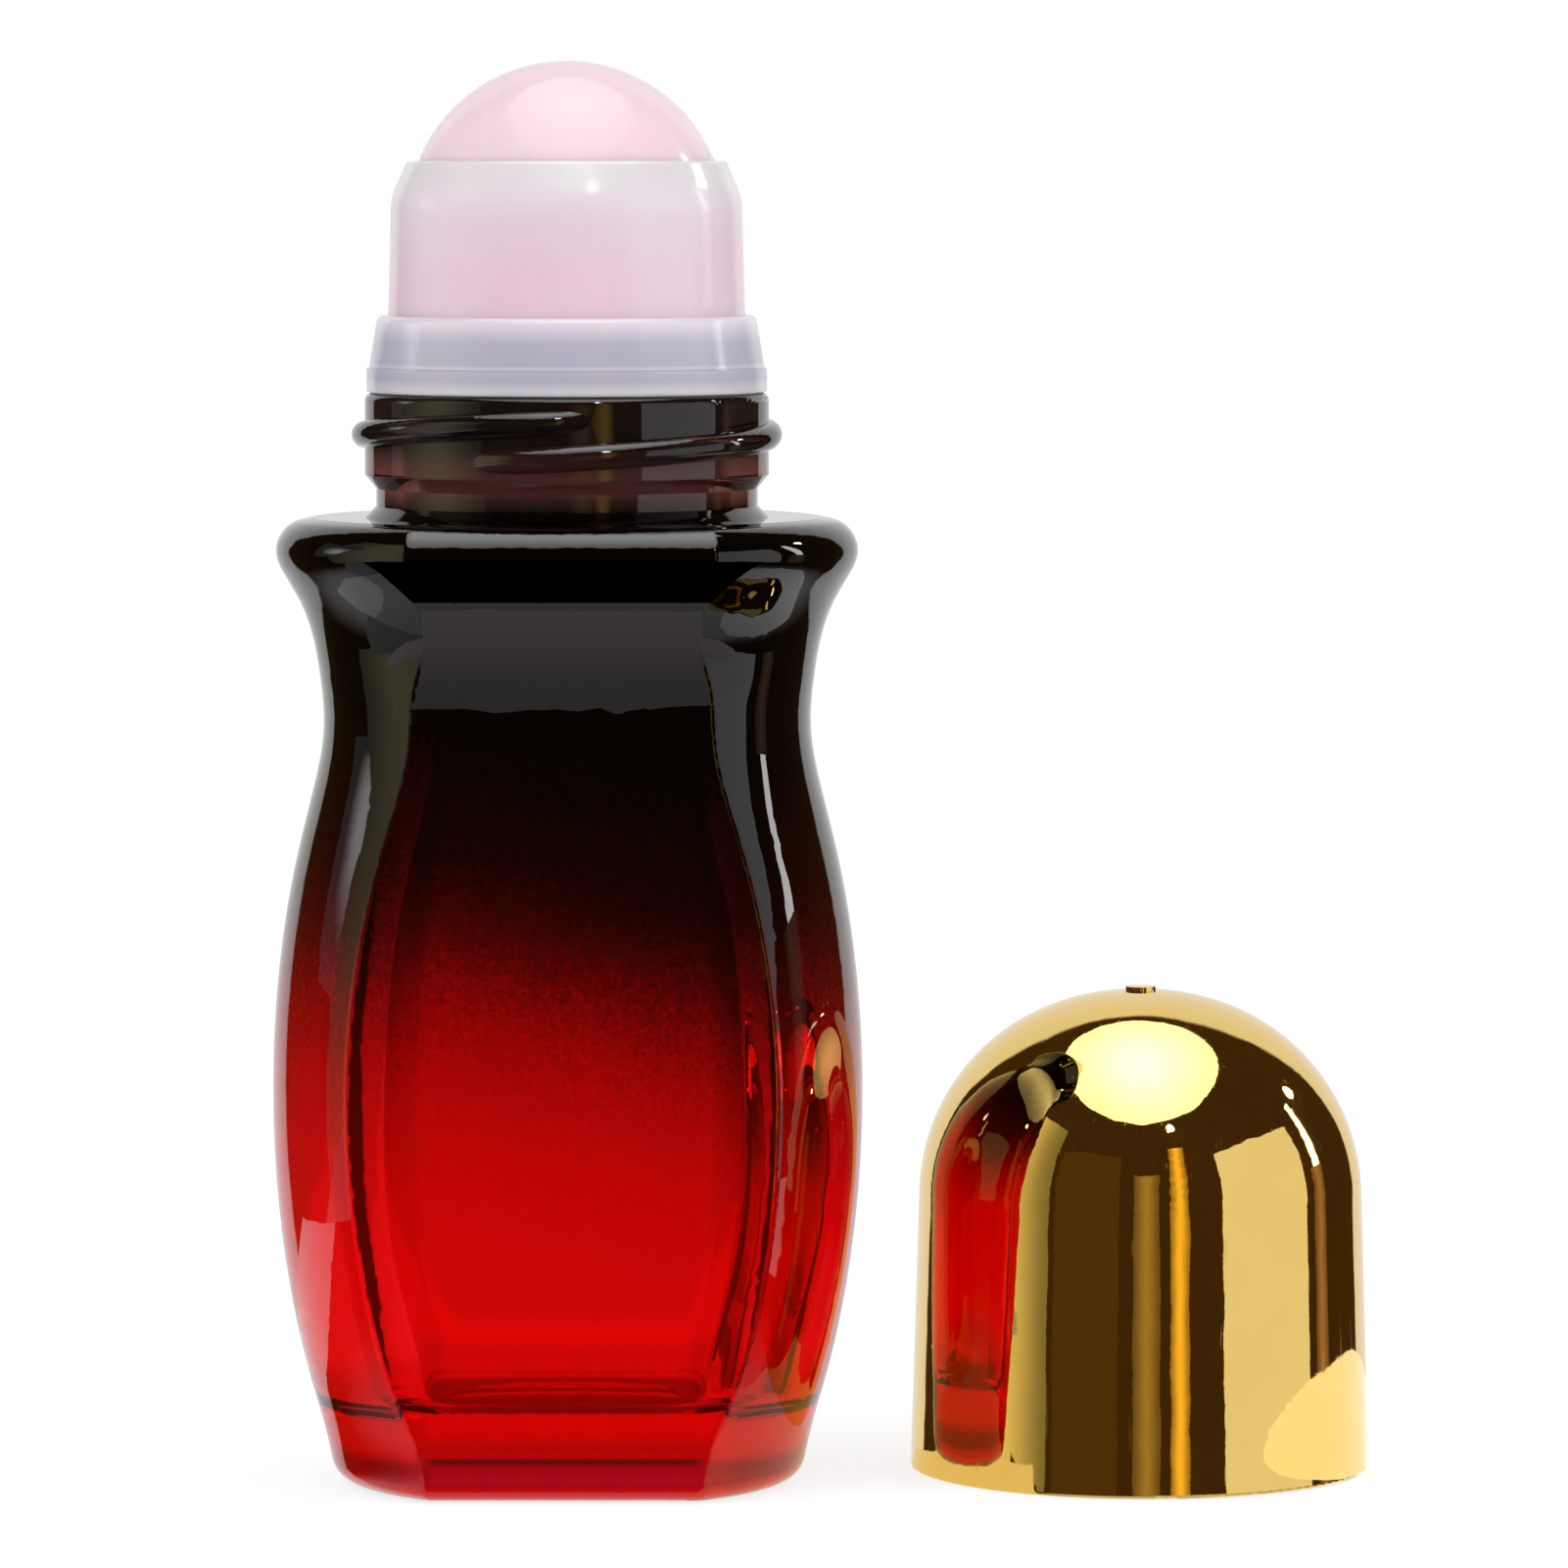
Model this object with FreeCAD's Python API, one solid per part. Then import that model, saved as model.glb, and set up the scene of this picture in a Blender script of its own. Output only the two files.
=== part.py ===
import FreeCAD, Part
import math
import os

from FreeCAD import Vector

# A glass roll-on bottle with its cap off: a waisted glass body with a flat panel front and back,
# a plastic roller housing plugged into its neck, a trapped ball, and a domed screw cap standing beside it.
# Millimetres, Z up, front towards -Y, origin on the bottle's axis at the level it stands on.

# Glass body. Widths run left to right, depths front to back, panel widths across the two flat faces.
# Each rise is counted from the level below it.
heel_height = 2.6
heel_inset = 2.4
heel_width = 38.3
heel_depth = 29.6
heel_panel_width = 22.6
belly_rise = 28.9
belly_width = 47.2
belly_depth = 33.0
belly_panel_width = 34.0
waist_rise = 29.0
waist_width = 38.9
waist_depth = 30.8
waist_panel_width = 23.8
flare_rise = 7.6
flare_width = 40.8
flare_depth = 32.6
flare_panel_width = 21.4
rim_rise = 6.5
rim_width = 46.4
rim_depth = 39.8
rim_panel_width = 24.2
rim_inset = 3.0
shoulder_rise = 2.6
panel_edge_radius = 0.7
punt_radius = 10.0
punt_depth = 1.0

# How the wall swells between those levels: share of the height, share of the change in size.
lower_wall_shares = ((0.19, 0.33), (0.50, 0.76))
upper_wall_shares = ((0.43, 0.21), (0.70, 0.57), (0.87, 0.865))
waist_shares = ((0.50, 0.25),)
rim_shares = ((0.39, 0.345), (0.68, 0.735))
rounding_shares = (0.0, 0.3, 0.6)

# Hollow of the glass.
side_wall = 5.0
panel_wall = 4.0
floor_height = 6.8
floor_corner = 2.4
hollow_edge_radius = 4.0
throat_shares = (0.12, 0.5)
throat_step = 0.3
throat_flat = 0.25

# Neck finish with a two-start right-hand thread.
neck_bore_margin = 0.4
neck_wall = 3.0
neck_root_step = 0.9
neck_root_fillet = 0.9
neck_root_height = 2.3
neck_cone_height = 1.1
neck_height = 9.95
neck_lip_round = 0.7
thread_starts = 2
thread_lead = 5.6
thread_sweep_deg = 218.0
thread_top_drop = 1.85
thread_top_deg = 280.0
thread_fade_deg = 24.0
neck_bead_width = 2.0
neck_bead_height = 1.05
bead_root = 0.4
bead_dip = 0.15
bead_steps = 24

# Roller ball and the housing moulded round it.
ball_diameter = 25.4
ball_wall = 1.8
ball_gap = 0.15
ball_seat_rise = 0.87
lip_grip = 4.78
lip_inset = 1.25
lip_round = 0.4
cup_wall = 1.35
cup_taper = 0.25
cup_shoulder_drop = 2.9
cup_shoulder_round = 5.0
cup_floor_wall = 1.2
feed_radius = 6.0
collar_rise = 6.1
collar_taper = 0.7
collar_step = 0.2
collar_round = 0.6
seat_ring_rise = 1.9
seat_ring_inset = 0.15
seat_ring_round = 0.2
plug_length = 8.2
plug_wall = 1.45
plug_gap = 0.35
plug_lead_in = 0.6
rib_gap = 0.05
rib_count = 2
rib_height = 1.2
rib_pitch = 2.6
first_rib_drop = 2.0

# Domed screw cap, standing mouth down beside the bottle.
cap_stand_gap = 3.95
cap_offset_y = 6.6
cap_head_room = 3.33
cap_draft = 0.67
cap_dome_rise = 16.25
dome_shares = (0.505, 0.62)
cap_mouth_round = 0.3
cap_wall = 1.5
cap_crown_wall = 1.3
cap_mouth_wall = 1.25
cap_thread_gap = 0.15
cap_home_gap = 0.8
cap_bead_width = 1.2
cap_bead_height = 0.65
gate_radius = 1.25
gate_height = 0.25
ceiling_drop = 0.55

# Seal in the crown of the cap, held in a ring that hangs from the crown.
seal_radius = 9.2
seal_skirt_wall = 1.2
seal_relief = 0.55
seal_dome_gap = 0.2
seal_ball_gap = 0.1
seal_ring_gap = 0.1
seal_ring_wall = 1.0
seal_ring_depth = 4.4

# Overrun of every cutting shape.
overrun = 1.0

# Levels that the pieces share, from the foot upwards.
belly_height = heel_height + belly_rise
waist_height = belly_height + waist_rise
flare_height = waist_height + flare_rise
rim_height = flare_height + rim_rise
shoulder_height = rim_height + shoulder_rise
neck_top = shoulder_height + neck_height
thread_top = neck_top - thread_top_drop
thread_pitch = thread_lead / thread_starts
ball_radius = ball_diameter / 2
ball_centre = neck_top + ball_radius + ball_seat_rise
cap_home = shoulder_height + cap_home_gap
cap_ball_centre = ball_centre - cap_home
cap_height = cap_ball_centre + ball_radius + cap_head_room
cap_side_height = cap_height - cap_dome_rise
cap_ceiling = cap_height - cap_crown_wall - ceiling_drop
cap_bore_height = neck_top - cap_home - thread_top_drop + neck_bead_width

# Radii that the pieces share, from the ball outwards.
neck_bore_radius = ball_radius + neck_bore_margin
neck_radius = neck_bore_radius + neck_wall
neck_root_radius = neck_radius - neck_root_step
neck_crest_radius = neck_radius + neck_bead_height
cap_bore_radius = neck_crest_radius + cap_thread_gap
cap_mouth_radius = cap_bore_radius + cap_mouth_wall
cap_side_radius = cap_mouth_radius - cap_draft
cap_offset_x = belly_width / 2 + cap_mouth_radius + cap_stand_gap


def panelled_outline(height, half_width, half_depth, half_panel, edge_radius, inset=0):
    """Closed outline with a flat panel front and back, bowed sides and rounded edges between them."""
    side_rise = half_width - half_panel
    side_radius = (half_depth ** 2 + side_rise ** 2) / (2 * side_rise)
    side_centre = half_width - side_radius
    bow = side_radius - inset
    depth = half_depth - inset
    edge_y = depth - edge_radius
    edge_x = side_centre + math.sqrt((bow - edge_radius) ** 2 - edge_y ** 2)
    lean = math.atan2(edge_y, edge_x - side_centre)
    turn = (lean + math.pi / 2) / 2
    panel_end = (edge_x, depth)
    edge_middle = (edge_x + edge_radius * math.cos(turn), edge_y + edge_radius * math.sin(turn))
    side_end = (side_centre + bow * math.cos(lean), bow * math.sin(lean))
    side_middle = (side_centre + bow, 0)

    def corner(point, right, back):
        return Vector(right * point[0], back * point[1], height)

    edges = []
    for right, back in ((1, 1), (-1, -1)):
        beside = (corner(side_end, right, -back), corner(side_middle, right, back))
        edges.append(Part.Arc(*beside, corner(side_end, right, back)))
        first_edge = (corner(side_end, right, back), corner(edge_middle, right, back))
        edges.append(Part.Arc(*first_edge, corner(panel_end, right, back)))
        edges.append(Part.LineSegment(corner(panel_end, right, back), corner(panel_end, -right, back)))
        second_edge = (corner(panel_end, -right, back), corner(edge_middle, -right, back))
        edges.append(Part.Arc(*second_edge, corner(side_end, -right, back)))
    return Part.Wire([edge.toShape() for edge in edges])


def swell(lower, upper, shares):
    """Levels between two others: the height by one share, every size by the other."""
    levels = []
    for height_share, size_share in shares:
        sizes = [low + (high - low) * size_share for low, high in zip(lower[1:], upper[1:])]
        levels.append((lower[0] + (upper[0] - lower[0]) * height_share, *sizes))
    return levels


def wall_levels():
    """Height, half width, half depth and half panel width of the glass from the heel to the rim."""
    heel = (heel_height, heel_width / 2, heel_depth / 2, heel_panel_width / 2)
    belly = (belly_height, belly_width / 2, belly_depth / 2, belly_panel_width / 2)
    waist = (waist_height, waist_width / 2, waist_depth / 2, waist_panel_width / 2)
    flare = (flare_height, flare_width / 2, flare_depth / 2, flare_panel_width / 2)
    rim = (rim_height, rim_width / 2, rim_depth / 2, rim_panel_width / 2)
    levels = [heel] + swell(heel, belly, lower_wall_shares)
    levels += [belly] + swell(belly, waist, upper_wall_shares)
    levels += [waist] + swell(waist, flare, waist_shares)
    return levels + [flare] + swell(flare, rim, rim_shares) + [rim]


def wall_at(height):
    """Level of the glass at any height, straight between the two nearest levels."""
    levels = wall_levels()
    above = next(index for index, level in enumerate(levels) if level[0] > height)
    lower, upper = levels[above - 1], levels[above]
    share = (height - lower[0]) / (upper[0] - lower[0])
    return swell(lower, upper, ((share, share),))[0]


def turned(corners):
    """Solid turned about Z from an outline of (radius, height, rounding) corners."""
    starts = []
    ends = []
    edges = []
    for index, (radius, height, rounding) in enumerate(corners):
        here = Vector(radius, 0, height)
        before = Vector(corners[index - 1][0], 0, corners[index - 1][1]) - here
        following = corners[(index + 1) % len(corners)]
        after = Vector(following[0], 0, following[1]) - here
        before.normalize()
        after.normalize()
        half_turn = before.getAngle(after) / 2
        trim = rounding / math.tan(half_turn)
        starts.append(here + before * trim)
        ends.append(here + after * trim)
        if rounding:
            inward = (before + after).normalize()
            middle = here + inward * (rounding / math.sin(half_turn) - rounding)
            edges.append(Part.Arc(starts[-1], middle, ends[-1]).toShape())
    for index, end in enumerate(ends):
        edges.append(Part.LineSegment(end, starts[(index + 1) % len(starts)]).toShape())
    face = Part.Face(Part.Wire(Part.__sortEdges__(edges)))
    return face.revolve(Vector(0, 0, 0), Vector(0, 0, 1), 360)


def tube(radius, bottom, top):
    """Plain upright cylinder on the axis."""
    return Part.makeCylinder(radius, top - bottom, Vector(0, 0, bottom))


def quarter_tubes(radius, bottom, top):
    """The same cylinder in four quarters, which keeps the wall in plain faces where a thread crosses it."""
    quarters = []
    for quarter in range(4):
        wedge = Part.makeCylinder(radius, top - bottom, Vector(0, 0, bottom), Vector(0, 0, 1), 90)
        wedge.rotate(Vector(0, 0, 0), Vector(0, 0, 1), 90 * quarter)
        quarters.append(wedge)
    return quarters


def ball(radius, height):
    """Full sphere on the axis."""
    return Part.makeSphere(radius, Vector(0, 0, height))


def thread_bead(wall_radius, bead_width, bead_height, top, outward, start_deg):
    """One rounded thread ridge that winds down from its top end and fades out at both ends."""
    sections = []
    for step in range(bead_steps + 1):
        wound_deg = thread_sweep_deg * step / bead_steps
        fade = min(1, wound_deg / thread_fade_deg, (thread_sweep_deg - wound_deg) / thread_fade_deg)
        crest = (bead_height + bead_dip) * math.sin(fade * math.pi / 2) - bead_dip
        angle = math.radians(start_deg - wound_deg)
        height = top - thread_lead * wound_deg / 360
        across = Vector(math.cos(angle), math.sin(angle), 0)
        root = across * (wall_radius - outward * bead_root) + Vector(0, 0, height)
        tip = across * (wall_radius + outward * crest) + Vector(0, 0, height)
        half = Vector(0, 0, bead_width / 2)
        flank = Part.Arc(root - half, tip, root + half).toShape()
        foot = Part.LineSegment(root + half, root - half).toShape()
        sections.append(Part.Wire([flank, foot]))
    return Part.makeLoft(sections, True, False)


def thread_beads(wall_radius, bead_width, bead_height, top, outward):
    """All starts of a thread, evenly round the axis."""
    turn_deg = 360 / thread_starts
    starts = [thread_top_deg + turn_deg * start for start in range(thread_starts)]
    return [thread_bead(wall_radius, bead_width, bead_height, top, outward, deg) for deg in starts]


def glass_body():
    """Outside of the bottle from its foot to the flat top of its shoulder."""
    levels = wall_levels()
    outlines = []
    for share in rounding_shares:
        rise = heel_height * (1 - math.cos(share * math.pi / 2))
        inset = heel_inset * (1 - math.sin(share * math.pi / 2))
        outlines.append(panelled_outline(rise, *levels[0][1:], panel_edge_radius, inset))
    outlines += [panelled_outline(*level, panel_edge_radius) for level in levels]
    for share in reversed(rounding_shares):
        rise = (shoulder_height - rim_height) * math.cos(share * math.pi / 2)
        inset = rim_inset * (1 - math.sin(share * math.pi / 2))
        outlines.append(panelled_outline(rim_height + rise, *levels[-1][1:], panel_edge_radius, inset))
    return Part.makeLoft(outlines, True, False)


def glass_hollow():
    """Space inside the glass: rounded floor, walls that follow the outside, and a round throat."""
    floor_top = floor_height + floor_corner
    levels = [wall_at(floor_top)]
    levels += [level for level in wall_levels() if floor_top < level[0] <= flare_height]
    inside = []
    for height, half_width, half_depth, half_panel in levels:
        narrowing = 1 - side_wall / half_width
        inside.append((height, half_width - side_wall, half_depth - panel_wall, half_panel * narrowing))
    lowest = inside[0][1:]
    outlines = []
    for share in rounding_shares:
        rise = floor_corner * (1 - math.cos(share * math.pi / 2))
        inset = floor_corner * (1 - math.sin(share * math.pi / 2))
        outlines.append(panelled_outline(floor_height + rise, *lowest, hollow_edge_radius, inset))
    outlines += [panelled_outline(*level, hollow_edge_radius) for level in inside]
    throat_radius = neck_bore_radius - throat_step
    throat_depth = throat_radius - throat_flat
    throat_panel = math.sqrt(throat_radius ** 2 - throat_depth ** 2)
    for share in throat_shares:
        height = rim_height + (shoulder_height - rim_height) * share
        sizes = (throat_radius, throat_depth, throat_panel)
        outlines.append(panelled_outline(height, *sizes, hollow_edge_radius))
    bore = tube(neck_bore_radius, rim_height, neck_top + overrun)
    return Part.makeLoft(outlines, True, False).fuse(bore)


def glass_neck():
    """Solid neck: fillet on the shoulder, undercut root, cone up to the threaded wall, rounded lip."""
    root_top = shoulder_height + neck_root_height
    corners = [
        (0, rim_height, 0),
        (neck_root_radius + neck_root_fillet, rim_height, 0),
        (neck_root_radius + neck_root_fillet, shoulder_height, 0),
        (neck_root_radius, shoulder_height + neck_root_fillet, 0),
        (neck_root_radius, root_top, 0),
        (neck_radius, root_top + neck_cone_height, 0),
        (neck_radius, neck_top, neck_lip_round),
        (0, neck_top, 0),
    ]
    return turned(corners)


def glass_bottle():
    """Heavy glass bottle with its hollow, base punt and threaded neck."""
    beads = thread_beads(neck_radius, neck_bead_width, neck_bead_height, thread_top, 1)
    outside = glass_body().fuse([glass_neck(), *beads])
    punt_ball = (punt_radius ** 2 + punt_depth ** 2) / (2 * punt_depth)
    punt = ball(punt_ball, punt_depth - punt_ball)
    return outside.cut([glass_hollow(), punt])


def roller_housing():
    """Translucent moulding: plug with sealing ribs, collar on the glass rim, cup and lip round the ball."""
    plug_radius = neck_bore_radius - plug_gap
    rib_radius = neck_bore_radius - rib_gap
    plug_bottom = neck_top - plug_length
    seat_ring_radius = neck_radius - seat_ring_inset
    collar_bottom_radius = seat_ring_radius - collar_step
    collar_top_radius = collar_bottom_radius - collar_taper
    collar_top = neck_top + collar_rise
    cup_radius = ball_radius + ball_gap + cup_wall
    cup_shoulder_radius = cup_radius - cup_taper
    lip_top = ball_centre + lip_grip
    corners = [(0, lip_top, 0), (cup_shoulder_radius - lip_inset, lip_top, lip_round)]
    corners.append((cup_shoulder_radius, lip_top - cup_shoulder_drop, cup_shoulder_round))
    corners.append((cup_radius, collar_top, 0))
    corners.append((collar_top_radius, collar_top, collar_round))
    corners.append((collar_bottom_radius, neck_top + seat_ring_rise, 0))
    corners.append((seat_ring_radius, neck_top + seat_ring_rise, 0))
    corners.append((seat_ring_radius, neck_top, seat_ring_round))
    corners.append((plug_radius, neck_top, 0))
    for rib in range(rib_count):
        crest = neck_top - first_rib_drop - rib_pitch * rib
        corners.append((plug_radius, crest + rib_height / 2, 0))
        corners.append((rib_radius, crest, 0))
        corners.append((plug_radius, crest - rib_height / 2, 0))
    corners.append((plug_radius, plug_bottom + plug_lead_in, 0))
    corners.append((plug_radius - plug_lead_in, plug_bottom, 0))
    corners.append((0, plug_bottom, 0))
    ball_space = ball_radius + ball_gap
    plug_hollow = tube(plug_radius - plug_wall, plug_bottom - overrun, ball_centre)
    plug_hollow = plug_hollow.cut(ball(ball_space + cup_floor_wall, ball_centre))
    feed = tube(feed_radius, plug_bottom, ball_centre)
    return turned(corners).cut([ball(ball_space, ball_centre), plug_hollow, feed])


def roller_ball():
    """Hollow ball that turns in the housing."""
    return ball(ball_radius, ball_centre).cut(ball(ball_radius - ball_wall, ball_centre))


def domed_solid(mouth_radius, side_radius, top, bottom):
    """Solid cap shape: a drafted side that runs smoothly into a dome."""
    draft = (mouth_radius - side_radius) / cap_side_height
    dome_rise = top - cap_side_height
    side_share, crown_share = dome_shares
    foot = Vector(mouth_radius - draft * bottom, 0, bottom)
    side_top = Vector(side_radius, 0, cap_side_height)
    handle_rise = dome_rise * side_share
    side_handle = Vector(side_radius - draft * handle_rise, 0, cap_side_height + handle_rise)
    crown_handle = Vector(side_radius * crown_share, 0, top)
    pole = Vector(0, 0, top)
    base = Vector(0, 0, bottom)
    dome = Part.BezierCurve()
    dome.setPoles([side_top, side_handle, crown_handle, pole])
    edges = [
        Part.LineSegment(base, foot),
        Part.LineSegment(foot, side_top),
        dome,
        Part.LineSegment(pole, base),
    ]
    face = Part.Face(Part.Wire([edge.toShape() for edge in edges]))
    return face.revolve(Vector(0, 0, 0), Vector(0, 0, 1), 360)


def cap_hollow(gap):
    """Smooth space inside the cap up to its flat ceiling, drawn in by a gap."""
    mouth_radius = cap_mouth_radius - cap_mouth_wall - gap
    side_radius = cap_side_radius - cap_wall - gap
    hollow = domed_solid(mouth_radius, side_radius, cap_height - cap_crown_wall - gap, -overrun)
    return hollow.cut(tube(cap_mouth_radius, cap_ceiling, cap_height))


def cap_shell():
    """Domed cap with a gate mark on its crown, a ring for the seal and the thread inside its mouth."""
    outside = domed_solid(cap_mouth_radius, cap_side_radius, cap_height, 0)
    mouth = [edge for edge in outside.Edges if edge.BoundBox.ZMax < overrun / 2 and edge.Closed]
    outside = outside.makeFillet(cap_mouth_round, mouth)
    gate = tube(gate_radius, cap_ceiling, cap_height + gate_height)
    ring_inside = seal_radius + seal_ring_gap
    ring = tube(ring_inside + seal_ring_wall, cap_ceiling - seal_ring_depth, cap_height)
    ring = ring.cut(tube(ring_inside, cap_ceiling - seal_ring_depth, cap_height))
    bore = quarter_tubes(cap_bore_radius, -overrun, cap_bore_height)
    home_top = thread_top - thread_pitch / 2 - cap_home
    beads = thread_beads(cap_bore_radius, cap_bead_width, cap_bead_height, home_top, -1)
    shell = outside.fuse(gate).cut([cap_hollow(0).cut(ring), *bore])
    return shell.fuse(beads)


def cap_seal():
    """Soft dished disc under the crown whose rim ends on the ball when the cap is home."""
    blank = tube(seal_radius, cap_ball_centre, cap_ceiling).common(cap_hollow(seal_dome_gap))
    relief = tube(seal_radius - seal_skirt_wall, cap_ball_centre, cap_ceiling)
    relief = relief.common(ball(ball_radius + seal_relief, cap_ball_centre))
    return blank.cut([relief, ball(ball_radius + seal_ball_gap, cap_ball_centre)])


def stand_cap(shape):
    """Moves a piece of the cap from the axis to where the cap stands."""
    return shape.translated(Vector(cap_offset_x, cap_offset_y, 0))


def main():
    os.makedirs("parts", exist_ok=True)
    pieces = {
        "glass_bottle": glass_bottle(),
        "roller_housing": roller_housing(),
        "roller_ball": roller_ball(),
        "cap_shell": stand_cap(cap_shell()),
        "cap_seal": stand_cap(cap_seal()),
    }
    for name, shape in pieces.items():
        shape.Solids[0].exportStep("parts/" + name + ".step")
        print(name, "solids", len(shape.Solids), "valid", shape.isValid(), "volume", round(shape.Volume, 1))


main()
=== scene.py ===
import math
import bpy
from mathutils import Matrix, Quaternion, Vector


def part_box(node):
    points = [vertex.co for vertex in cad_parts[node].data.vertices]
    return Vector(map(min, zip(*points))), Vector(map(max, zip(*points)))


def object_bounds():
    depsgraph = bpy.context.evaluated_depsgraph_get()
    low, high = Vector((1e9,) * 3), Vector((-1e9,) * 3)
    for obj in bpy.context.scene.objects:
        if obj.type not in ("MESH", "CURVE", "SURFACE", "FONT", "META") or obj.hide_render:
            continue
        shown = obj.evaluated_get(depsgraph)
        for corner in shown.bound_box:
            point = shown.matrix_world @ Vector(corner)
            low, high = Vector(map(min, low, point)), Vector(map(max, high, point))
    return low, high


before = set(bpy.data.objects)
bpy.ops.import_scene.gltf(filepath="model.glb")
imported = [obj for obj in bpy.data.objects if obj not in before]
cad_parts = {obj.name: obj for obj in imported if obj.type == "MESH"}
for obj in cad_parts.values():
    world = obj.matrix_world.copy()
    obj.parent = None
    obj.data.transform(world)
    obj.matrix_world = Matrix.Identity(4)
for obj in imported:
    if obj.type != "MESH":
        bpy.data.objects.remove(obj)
cad_low, cad_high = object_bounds()
bpy.ops.object.select_all(action="DESELECT")


# Glass bottle: heavy pressed and blown glass with a flat panel front and back.
# Its outside is lacquered, opaque black at the top, sprayed out in fine droplets into clear red below.
# The neck above the shoulder carries the screw thread and has only a thin smoky coat.
def node(tree, kind, **settings):
    """Adds one shader node and sets its properties and its numbered or named inputs."""
    made = tree.nodes.new(kind)
    for name, value in settings.items():
        if name == "inputs":
            for socket, fixed in value.items():
                made.inputs[socket].default_value = fixed
        else:
            setattr(made, name, value)
    return made


def join(tree, *pairs):
    """Links outputs to inputs, given as (node, socket, node, socket)."""
    for start, out, end, into in pairs:
        tree.links.new(start.outputs[out], end.inputs[into])


def ramp(tree, stops):
    """A colour ramp with these (place, colour) stops."""
    made = tree.nodes.new("ShaderNodeValToRGB")
    points = made.color_ramp.elements
    while len(points) < len(stops):
        points.new(0.5)
    for point, (place, colour) in zip(points, stops):
        point.position = place
        point.color = (*colour, 1)
    return made


def fresh_material(name):
    """An empty node material and its tree."""
    made = bpy.data.materials.new(name)
    made.use_nodes = True
    made.node_tree.nodes.clear()
    return made, made.node_tree


def dress(node_name, material):
    """Gives a CAD node this finish."""
    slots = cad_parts[node_name].data.materials
    slots.clear()
    slots.append(material)


def group_of(name, floats, outputs):
    """A shader node group with a Vector input, these float inputs and these float outputs."""
    made = bpy.data.node_groups.new(name, "ShaderNodeTree")
    made.interface.new_socket("Vector", in_out="INPUT", socket_type="NodeSocketVector")
    for label in floats:
        made.interface.new_socket(label, in_out="INPUT", socket_type="NodeSocketFloat")
    for label in outputs:
        made.interface.new_socket(label, in_out="OUTPUT", socket_type="NodeSocketFloat")
    return made, made.nodes.new("NodeGroupInput"), made.nodes.new("NodeGroupOutput")


# handling marks: soft smudges left by fingers, and hair scratches in two directions
hair_turns = (0.5, -0.9)
hair_lean = 0.4
hair_stretch = 0.03
marks, marks_in, marks_out = group_of(
    "handling_marks", ["Smudge Scale", "Scratch Scale"], ["Smudges", "Scratches"])
smudge = node(marks, "ShaderNodeTexNoise", inputs={"Detail": 4.0, "Roughness": 0.6})
smudge_mask = node(marks, "ShaderNodeMapRange", interpolation_type="SMOOTHSTEP",
                   inputs={"From Min": 0.48, "From Max": 0.72})
join(marks,
     (marks_in, "Vector", smudge, "Vector"),
     (marks_in, "Smudge Scale", smudge, "Scale"),
     (smudge, 0, smudge_mask, 0),
     (smudge_mask, 0, marks_out, "Smudges"))
hairs = []
for turn in hair_turns:
    along = node(marks, "ShaderNodeMapping",
                 inputs={"Rotation": (turn, turn, hair_lean), "Scale": (1, 1, hair_stretch)})
    streak = node(marks, "ShaderNodeTexNoise", inputs={"Detail": 1.0})
    hair = node(marks, "ShaderNodeMapRange", interpolation_type="SMOOTHSTEP",
                inputs={"From Min": 0.70, "From Max": 0.76})
    join(marks,
         (marks_in, "Vector", along, "Vector"),
         (along, 0, streak, "Vector"),
         (marks_in, "Scratch Scale", streak, "Scale"),
         (streak, 0, hair, 0))
    hairs.append(hair)
either = node(marks, "ShaderNodeMath", operation="MAXIMUM")
join(marks,
     (hairs[0], 0, either, 0),
     (hairs[1], 0, either, 1),
     (either, 0, marks_out, "Scratches"))


def handled(tree, place, smudge_scale, scratch_scale):
    """Places the handling marks in a material."""
    made = node(tree, "ShaderNodeGroup", node_tree=marks,
                inputs={"Smudge Scale": smudge_scale, "Scratch Scale": scratch_scale})
    join(tree, (place, "Object", made, "Vector"))
    return made


# the colour sockets of a Mix node, whose names its number sockets have too
first = 6
second = 7
mixed = 2

glass, tree = fresh_material("lacquered_glass")
place = node(tree, "ShaderNodeTexCoord")
split = node(tree, "ShaderNodeSeparateXYZ")
join(tree, (place, "Object", split, 0))

# spray: red goes to black with height, through clouds and fine droplets; the change is set lower on the
# right, which darkens the right side
fade_start = 0.017
fade_end = 0.060
lean_reach = 0.013
lean_height = 0.0022
cloud_height = 0.0011
drop_height = 0.0034
lean = node(tree, "ShaderNodeMapRange", interpolation_type="SMOOTHSTEP", inputs={
    "From Min": -lean_reach, "From Max": lean_reach, "To Min": -lean_height, "To Max": lean_height})
level = node(tree, "ShaderNodeMath", operation="ADD")
clouds = node(tree, "ShaderNodeTexNoise", inputs={"Scale": 70.0, "Detail": 3.0})
cloud_shift = node(tree, "ShaderNodeMapRange", inputs={
    "From Min": 0.3, "From Max": 0.7, "To Min": -cloud_height, "To Max": cloud_height})
clouded = node(tree, "ShaderNodeMath", operation="ADD")
drops = node(tree, "ShaderNodeTexNoise", inputs={"Scale": 2600.0, "Detail": 2.0})
drop_shift = node(tree, "ShaderNodeMapRange", inputs={
    "From Min": 0.3, "From Max": 0.7, "To Min": -drop_height, "To Max": drop_height})
speckled = node(tree, "ShaderNodeMath", operation="ADD")
fade = node(tree, "ShaderNodeMapRange", inputs={"From Min": fade_start, "From Max": fade_end})
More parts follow.
